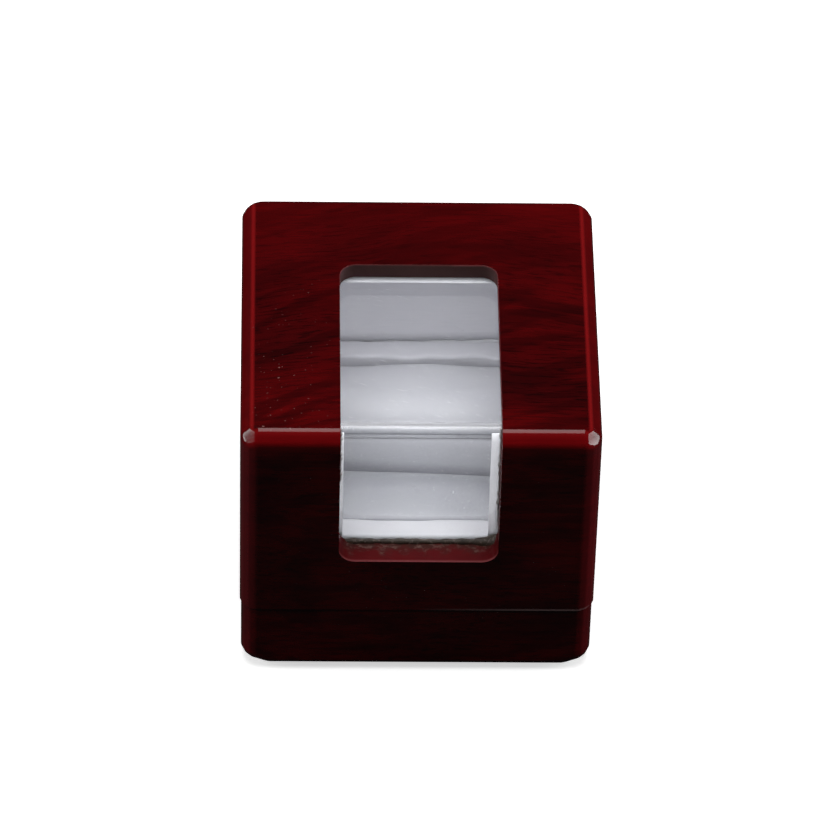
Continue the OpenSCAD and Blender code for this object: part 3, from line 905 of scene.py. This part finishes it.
def wrapped_board(where, axis, side, seed, finish, outer_r=RIM_R, shift=0.0, wave=0.16 * mm):
    """Board along axis, on one side of the well, with soft and slightly uneven top edges."""
    node = "tray_board_" + where
    lo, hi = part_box(node)
    across = 1 - axis
    edge = (well_hi if side > 0 else well_lo)[across]
    wall = (hi if side > 0 else lo)[across]
    limit = (HOLLOW_X, HOLLOW_Y)[axis]
    step = SEAM_Z - 0.4 * mm
    bm = bmesh.new()
    rings = []
    for i in range(BOARD_STEPS + 1):
        t = i / BOARD_STEPS
        inner = edge + side * (shift + ripple(t * 2.6, seed, wave))
        top = hi.z + ripple(t * 2.2, seed + 7, 0.10 * mm)
        ring = []
        for u, z in board_outline(inner, edge + side * RIM_W, wall, lo.z, step, top, side, outer_r):
            out = abs(u - edge) if (u - edge) * side > 0 else 0.0
            start = max(well_lo[axis] - out, -limit)
            end = min(well_hi[axis] + out, limit)
            spot = [0.0, 0.0, z]
            spot[axis] = start + (end - start) * t
            spot[across] = u
            ring.append(bm.verts.new(spot))
        rings.append(ring)
    made = piece("tray_rim_" + where, mesh_of(bridge(bm, rings)), finish)
    made.data.set_sharp_from_angle(angle=math.radians(50))
    settle(made, "base", [node])


wrapped_board("front", 0, -1, 1, satin_front_painted_shade)
wrapped_board("back", 0, 1, 2, satin_rim_painted_light_and_shade, outer_r=0.25 * mm, shift=0.5 * mm, wave=0.5 * mm)
wrapped_board("left", 1, -1, 3, satin_along)
wrapped_board("right", 1, 1, 4, satin_along)

# %% [markdown]
# The lid is lined with card panels wrapped in the same satin. A thin slab whose edges are drawn in
# is all that shows. The front lining is three panels, one each side of the sheet and one on the
# wall below it.

# %% Satin panels of the lid
def skin(bm, grid):
    """Faces between the points of a grid."""
    for i, j in itertools.product(range(len(grid) - 1), range(len(grid[0]) - 1)):
        bm.faces.new((grid[i][j], grid[i + 1][j], grid[i + 1][j + 1], grid[i][j + 1]))


def wrapped_panel(lo, hi, thin):
    """Grid slab over a box, with its edges drawn in."""
    bm = bmesh.new()
    a, b = (axis for axis in range(3) if axis != thin)
    wide, tall = hi[a] - lo[a], hi[b] - lo[b]
    cells = [max(4, int(span / (1.2 * mm))) for span in (wide, tall)]
    half = (hi[thin] - lo[thin]) / 2
    sheets = []
    for side, level in ((-1, lo[thin]), (1, hi[thin])):
        grid = []
        for i in range(cells[0] + 1):
            row = []
            for j in range(cells[1] + 1):
                u, v = i / cells[0], j / cells[1]
                edge = min(min(u, 1 - u) * wide, min(v, 1 - v) * tall)
                drawn = half * 0.6 * max(0.0, 1 - edge / (0.8 * mm)) ** 2
                spot = [level - side * drawn] * 3
                spot[a] = lo[a] + u * wide
                spot[b] = lo[b] + v * tall
                row.append(bm.verts.new(spot))
            grid.append(row)
        sheets.append(grid)
        skin(bm, grid)
    rim = [(i, 0) for i in range(cells[0])] + [(cells[0], j) for j in range(cells[1])]
    rim += [(i, cells[1]) for i in range(cells[0], 0, -1)] + [(0, j) for j in range(cells[1], 0, -1)]
    for (i, j), (m, n) in zip(rim, rim[1:] + rim[:1]):
        bm.faces.new((sheets[0][i][j], sheets[0][m][n], sheets[1][m][n], sheets[1][i][j]))
    return bm


def panel(name, node, thin, boxes=None, finish=None):
    """One lining of the lid, in one slab or in several that are joined in one mesh."""
    bm = bmesh.new()
    for lo, hi in boxes or [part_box(node)]:
        part = mesh_of(wrapped_panel(lo, hi, thin))
        bm.from_mesh(part)
        bpy.data.meshes.remove(part)
    made = piece(name, mesh_of(bm), finish or (satin_across if thin == 1 else satin_along))
    settle(made, "lid", [node])


panel("lining_panel_back", "lining_back", 1, finish=satin_rear_painted_light_and_shade)
panel("lining_panel_left", "lining_left", 0)
panel("lining_panel_right", "lining_right", 0)

lo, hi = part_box("lining_front")
sheet_y = pane_lo.y + PANE_T + 0.1 * mm
card = 0.8 * mm
edge_x = 13.8 * mm
slipped_x = 12.8 * mm
foot_z = SILL_Z + 0.3 * mm
panel("lining_panels_front", "lining_front", 1, [
    ((lo.x, sheet_y, foot_z), (-edge_x, sheet_y + card, hi.z)),
    ((slipped_x, sheet_y, foot_z), (hi.x, sheet_y + card, hi.z)),
    ((lo.x, lo.y, lo.z), (hi.x, lo.y + card, pane_lo.z - 0.3 * mm)),
])
lo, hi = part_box("lining_top")
side_x = WINDOW_X + 0.3 * mm
back_y = WINDOW_BACK_Y + 0.3 * mm
panel("lining_panel_top", "lining_top", 2, [
    ((lo.x, lo.y, lo.z), (-side_x, hi.y, hi.z)),
    ((side_x, lo.y, lo.z), (hi.x, hi.y, hi.z)),
    ((-side_x, back_y, lo.z), (side_x, hi.y, hi.z)),
])

# %% [markdown]
# A strip of satin is glued along the back of the tray's rim and hides the hinge joint. It is a thin
# sheet with a slightly wavy hem, in the shape that it has while the lid is shut.

# %% Hinge cloth
lo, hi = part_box("hinge_cloth")
COLUMNS = 80
ROWS = 10
HEM_DROP = 1.4 * mm
HEM_RISE = 1.3 * mm
bm = bmesh.new()
mid_y = (lo.y + hi.y) / 2
grid = []
for i in range(COLUMNS + 1):
    t = i / COLUMNS
    hem = ripple(t * 7, 5, 0.22 * mm) + (t - 0.5) * HEM_RISE
    x = lo.x + (hi.x - lo.x) * t
    tall = hi.z - lo.z - HEM_DROP + hem
    grid.append([bm.verts.new((x, mid_y, lo.z + tall * (j / ROWS))) for j in range(ROWS + 1)])
skin(bm, grid)
strip = piece("hinge_strip", mesh_of(bm), satin_across)
modified(strip, "SOLIDIFY", thickness=0.35 * mm, offset=0.0)
settle(strip, "base", ["hinge_cloth"])

# %% [markdown]
# Polished brass hinges, nickel magnets and black felt are small, and each has its own wear:
# fine turning marks on the brass, faint hairlines on the nickel, and a matted pile on the felt.

# %% Metal, felt and card
def metal(tree, lines, color, rough, strength):
    return tree.surface(Base_Color=color, Metallic=1.0, Roughness=rough,
                        Normal=tree.bump(lines, strength, 0.01 * mm))


def brass():
    tree = Tree("brass")
    lines = tree.speck((0.6, 14.0, 14.0), 2.0, 0.6)
    dull = tree.speck(0.7, 4.0, 0.6).ramp(0.42, 0.75) * 0.6
    color = tree.mix(dull, rgb(0.72, 0.53, 0.22), rgb(0.42, 0.28, 0.11))
    return metal(tree, lines, color, lines.ramp(0.3, 0.7, 0.20, 0.34), 0.15)


def plated(name, color, low, high):
    tree = Tree(name)
    lines = tree.speck((9.0, 1.0, 9.0), 3.0, 0.6)
    color = tree.coats(color, (lines.ramp(0.4, 0.8) * 0.4, 0.35, 0.34, 0.34))
    return metal(tree, lines, color, lines.ramp(0.3, 0.8, low, high), 0.1)


def felt():
    tree = Tree("felt")
    pile = tree.speck(3.5, 6.0, 0.7)
    tufts = tree.speck(0.5, 3.0, 0.6)
    color = tree.coats(
        rgb(0.012, 0.012, 0.014),
        (pile.ramp(0.35, 0.7), 0.055, 0.055, 0.06),
        (tufts.ramp(0.45, 0.7) * 0.4, 0.075, 0.075, 0.08),
    )
    return tree.surface(
        Base_Color=color,
        Roughness=pile.ramp(0.2, 0.8, 0.85, 1.0),
        Sheen_Weight=0.3,
        Normal=tree.bump(pile, 0.8, 0.15 * mm),
    )


def bare_board(name, light, dark):
    tree = Tree(name)
    fibre = tree.speck((0.25, 5.0, 5.0), 4.0, 0.65)
    return tree.surface(
        Base_Color=tree.mix(fibre.ramp(0.4, 0.7), light, dark),
        Roughness=fibre.ramp(0.3, 0.8, 0.6, 0.8),
        Normal=tree.bump(fibre, 0.4, 0.05 * mm),
    )


def dress(finish, *names):
    for name in names:
        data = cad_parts[name].data
        data.materials.clear()
        data.materials.append(finish)
    print(finish.name, "on", names)


brass_finish = brass()
leaves = [p.format(b) for p in HINGE_NODES for b in ("base", "lid")]
dress(brass_finish, *leaves)
dress(plated("pin_steel", rgb(0.62, 0.50, 0.27), 0.2, 0.35), "hinge_pin_left", "hinge_pin_right")
dress(plated("magnet_nickel", rgb(0.70, 0.69, 0.68), 0.12, 0.28), "base_magnets", "lid_magnets")
dress(bare_board("bottom_board", rgb(0.30, 0.17, 0.09), rgb(0.19, 0.10, 0.05)), "base_floor")
dress(bare_board("grey_card", rgb(0.45, 0.41, 0.34), rgb(0.36, 0.33, 0.27)), "cushion_card")

lo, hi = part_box("base_felt")
outline = round_corners(lo, hi, 1.5 * mm)
pad = piece("felt_foot", mesh_of(prism(outline, 2, lo.z, hi.z), False), felt())
soften(pad, 0.2 * mm)
settle(pad, "base", ["base_felt"])

# %% [markdown]
# Four countersunk screws hold each side of the hinges. Geometry Nodes sets one slotted screw on
# each point of a small mesh, with its sizes as named inputs and the slots turned by a seeded
# random angle, because no two screws stop at the same turn.

# %% Hinge screws from one node tree
def screw_tree():
    tree = bpy.data.node_groups.new("slotted_screws", "GeometryNodeTree")

    def socket(label, kind, way="INPUT"):
        return tree.interface.new_socket(label, in_out=way, socket_type="NodeSocket" + kind)

    def join(source, to):
        if isinstance(source, bpy.types.Node):
            source = source.outputs[0]
        if isinstance(source, bpy.types.NodeSocket):
            tree.links.new(source, to)
        else:
            to.default_value = source

    def add(kind, settings=None, **inputs):
        node = tree.nodes.new(kind)
        for key, setting in (settings or {}).items():
            setattr(node, key, setting)
        for key, source in inputs.items():
            join(source, node.inputs[key.replace("_", " ")])
        return node

    def times(a, b):
        node = add("ShaderNodeMath", {"operation": "MULTIPLY"})
        join(a, node.inputs[0])
        join(b, node.inputs[1])
        return node

    def vector(**parts):
        return add("ShaderNodeCombineXYZ", **parts)

    def solid(operation, *sources):
        node = add("GeometryNodeMeshBoolean", {"operation": operation, "solver": "EXACT"})
        for name, source in sources:
            join(source, node.inputs[name])
        return node

    socket("Geometry", "Geometry")
    sizes = {"Head radius": 1.1, "Head height": 0.5, "Shank radius": 0.55,
             "Length": 4.9, "Slot width": 0.28, "Slot depth": 0.25}
    for label, size in sizes.items():
        socket(label, "Float").default_value = size * mm
    socket("Seed", "Int").default_value = 7
    socket("Finish", "Material")
    socket("Geometry", "Geometry", "OUTPUT")
    given = tree.nodes.new("NodeGroupInput").outputs
    result = tree.nodes.new("NodeGroupOutput")

    head = add("GeometryNodeMeshCone", Vertices=24, Radius_Top=given["Shank radius"],
               Radius_Bottom=given["Head radius"], Depth=given["Head height"])
    shank = add("GeometryNodeMeshCylinder", Vertices=12, Radius=given["Shank radius"],
                Depth=given["Length"])
    middle = vector(Z=times(given["Length"], 0.5))
    sunk = add("GeometryNodeTransform", Geometry=shank, Translation=middle)
    slot_size = vector(X=4 * mm, Y=given["Slot width"], Z=times(given["Slot depth"], 2.0))
    slot = add("GeometryNodeMeshCube", Size=slot_size)
    body = solid("UNION", ("Mesh 2", head), ("Mesh 2", sunk))
    slotted = solid("DIFFERENCE", ("Mesh 1", body), ("Mesh 2", slot))
    turn = add("FunctionNodeRandomValue", {"data_type": "FLOAT"}, Seed=given["Seed"])
    join(0.0, turn.inputs[2])
    join(math.pi, turn.inputs[3])
    place = add("GeometryNodeInstanceOnPoints", Points=given[0], Instance=slotted,
                Rotation=vector(Z=turn.outputs[1]))
    real = add("GeometryNodeRealizeInstances", Geometry=place)
    join(add("GeometryNodeSetMaterial", Geometry=real, Material=given["Finish"]), result.inputs[0])
    return tree


screws = screw_tree()


def hinge_screws(body):
    """Screws whose heads lie at the seam: the lid's point up and the base's point down."""
    up = body == "lid"
    node = body + "_hinge_screws"
    lo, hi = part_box(node)
    y = (lo.y + hi.y) / 2
    spots = []
    for pattern in HINGE_NODES:
        leaf_lo, leaf_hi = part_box(pattern.format(body))
        mid = (leaf_lo.x + leaf_hi.x) / 2
        spots += [(mid - SCREW_X, y, 0.0), (mid + SCREW_X, y, 0.0)]
    mesh = bpy.data.meshes.new(node)
    mesh.from_pydata(spots, [], [])
    made = piece("hinge_screws_" + body, mesh)
    work = made.modifiers.new("screws", "NODES")
    work.node_group = screws
    sockets = {s.name: s.identifier for s in screws.interface.items_tree if s.in_out == "INPUT"}
    work[sockets["Finish"]] = brass_finish
    work[sockets["Seed"]] = 3 if up else 11
    finished(made)
    head_z = lo.z if up else hi.z
    stand = Matrix.Translation((0, 0, head_z)) @ Matrix.Diagonal((1, 1, 1 if up else -1, 1))
    made.data.transform(stand)
    if not up:
        made.data.flip_normals()
    settle(made, body, [node])


SCREW_X = 3.2 * mm
hinge_screws("base")
hinge_screws("lid")

# %% [markdown]
# A pale floor and soft studio light: a big softbox straight above, a low, narrow one at each side
# that only grazes the corners, and a wider one at each side that fills the walls and isn't mirrored.
# Camera rays see the whole pale background. Mirror rays meet almost none of it, so the lacquer looks
# darker than in a real pale room. Rays past the clear sheet meet more than all of it, which lights
# the satin inside. No object in the scene causes either: both were set to match the photo.

# %% Floor, room and lamps
MIRRORED = 0.004
PAST_SHEET = 1.55
DIM_ROOM = 0.01
FLOOR_REACH = 6.0
FLOOR_Z = -0.02 * mm


def background_rays(tree, past_sheet=1.0):
    """How much of the pale background a ray meets."""
    path = tree.node("LightPath")
    camera, glossy, through = path[0], path[3], path[6]
    return camera.most(through * past_sheet).most(glossy * MIRRORED)


def floor_finish():
    """Pale paper that catches a soft shadow, and nothing at all from below."""
    tree = Tree("pale_floor")
    seen = background_rays(tree)
    paper = tree.node("BsdfPrincipled", {
        "Base Color": tree.mix(seen, rgb(0.012, 0.012, 0.012), rgb(1.0, 1.0, 1.0)),
        "Emission Color": tree.mix(seen, rgb(0.0, 0.0, 0.0), rgb(0.6, 0.6, 0.6)),
        "Emission Strength": 1.0,
        "Roughness": 1.0,
        "Specular IOR Level": 0.0,
    })[0]
    below = tree.node("NewGeometry")[6]
    nothing = tree.node("BsdfTransparent")[0]
    return tree.finish(tree.node("MixShader", {0: below, 1: paper, 2: nothing})[0])


bm = bmesh.new()
square = ((-1, -1), (1, -1), (1, 1), (-1, 1))
bm.faces.new([bm.verts.new((x * FLOOR_REACH, y * FLOOR_REACH, FLOOR_Z)) for x, y in square])
floor = piece("floor", mesh_of(bm), floor_finish())

studio = Tree("studio", bpy.data.worlds)
level = background_rays(studio, PAST_SHEET).ramp(0.0, 1.0, DIM_ROOM, 1.0, clamp=False)
scene.world = studio.finish(studio.node("Background", {"Strength": level})[0], "OutputWorld")


def softbox(name, spot, aim, width, height, radiance):
    lamp = bpy.data.lights.new(name, "AREA")
    lamp.shape = "RECTANGLE"
    lamp.size = width
    lamp.size_y = height
    lamp.energy = radiance * math.pi * width * height
    made = placed(name, lamp)
    made.location = spot
    made.rotation_euler = (Vector(aim) - Vector(spot)).to_track_quat("-Z", "Y").to_euler()
    return made


middle = (0, 0, 0.03)
side_x = 0.60
softbox("top_softbox", (0.0, -0.04, 0.66), middle, 0.46, 0.50, 4.2)
for side in (-1, 1):
    softbox("edge_softbox", (side * side_x, -0.12, 0.18), middle, 0.08, 0.20, 6.5)
    fill = softbox("side_softbox", (side * side_x, 0.12, 0.20), middle, 0.36, 0.36, 4.7 + 0.5 * side)
    fill.visible_glossy = False

# %% [markdown]
# The camera looks down at about 44 degrees from over a metre away with a long lens, so the box is
# seen almost without perspective.

# %% Camera
AZIMUTH = math.radians(-1.875)
ELEVATION = math.radians(43.805)
ROLL = math.radians(1.649)
DISTANCE = 1191.53 * mm
LOOK_AT = Vector((-0.209, 0.0, 34.599)) * mm

back = Vector((math.sin(AZIMUTH) * math.cos(ELEVATION), -math.cos(AZIMUTH) * math.cos(ELEVATION),
               math.sin(ELEVATION)))
right = Vector((math.cos(AZIMUTH), math.sin(AZIMUTH), 0))
up = back.cross(right)
rolled_right = right * math.cos(ROLL) + up * math.sin(ROLL)
rolled_up = up * math.cos(ROLL) - right * math.sin(ROLL)
turn = Matrix((rolled_right, rolled_up, back)).transposed().to_4x4()
lens = bpy.data.cameras.new("camera")
lens.sensor_width = 36.0
lens.lens = 278.97
camera = placed("camera", lens)
camera.matrix_world = Matrix.Translation(LOOK_AT + back * DISTANCE) @ turn
scene.camera = camera
scene.view_settings.view_transform = "Standard"
